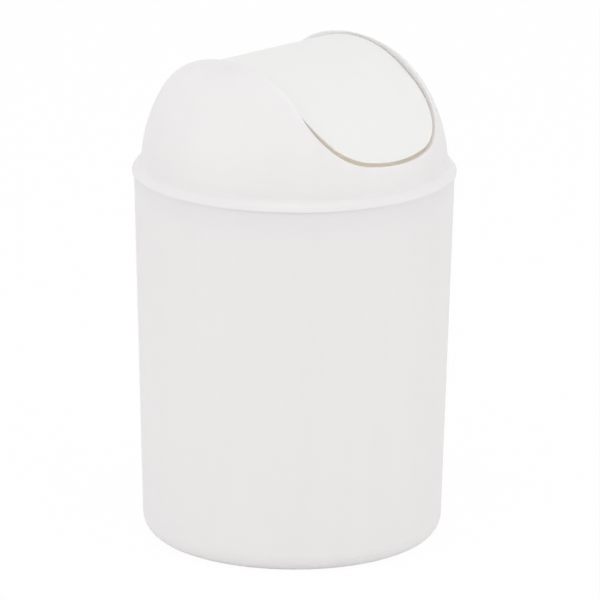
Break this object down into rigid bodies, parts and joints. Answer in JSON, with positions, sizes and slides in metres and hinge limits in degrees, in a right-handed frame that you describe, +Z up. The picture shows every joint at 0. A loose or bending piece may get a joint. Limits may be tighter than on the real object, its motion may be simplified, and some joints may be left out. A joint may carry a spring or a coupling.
{
  "type": "countertop waste bin",
  "caption": "Small round tapered bin with a domed lift-off lid and a curved flap that swings in a cut across the dome.",
  "frame": {"origin": "centre of the base, on the plane that the bin stands on", "axes": "+Z up; X along the flap's swing axis; the front of the bin faces -Y"},
  "size_m": [0.1316, 0.1316, 0.2038],
  "materials": {
    "bin_plastic": "moulded polypropylene, fine matt texture",
    "lid_plastic": "moulded polypropylene, fine matt texture",
    "flap_plastic": "moulded polypropylene, smooth satin"
  },
  "bodies": {
    "bin": {"bin_body": "bin_plastic"},
    "lid": {"lid_dome": "lid_plastic"},
    "flap": {"swing_flap": "flap_plastic"}
  },
  "joints": [
    {"name": "lid_lift", "type": "slide", "parent": "bin", "child": "lid", "axis": [0, 0, 1], "range_m": [0, 0.08]},
    {"name": "flap_swing", "type": "hinge", "parent": "lid", "child": "flap", "pos_m": [0, 0, 0.196], "axis": [1, 0, 0], "range_deg": [-75, 75]}
  ]
}
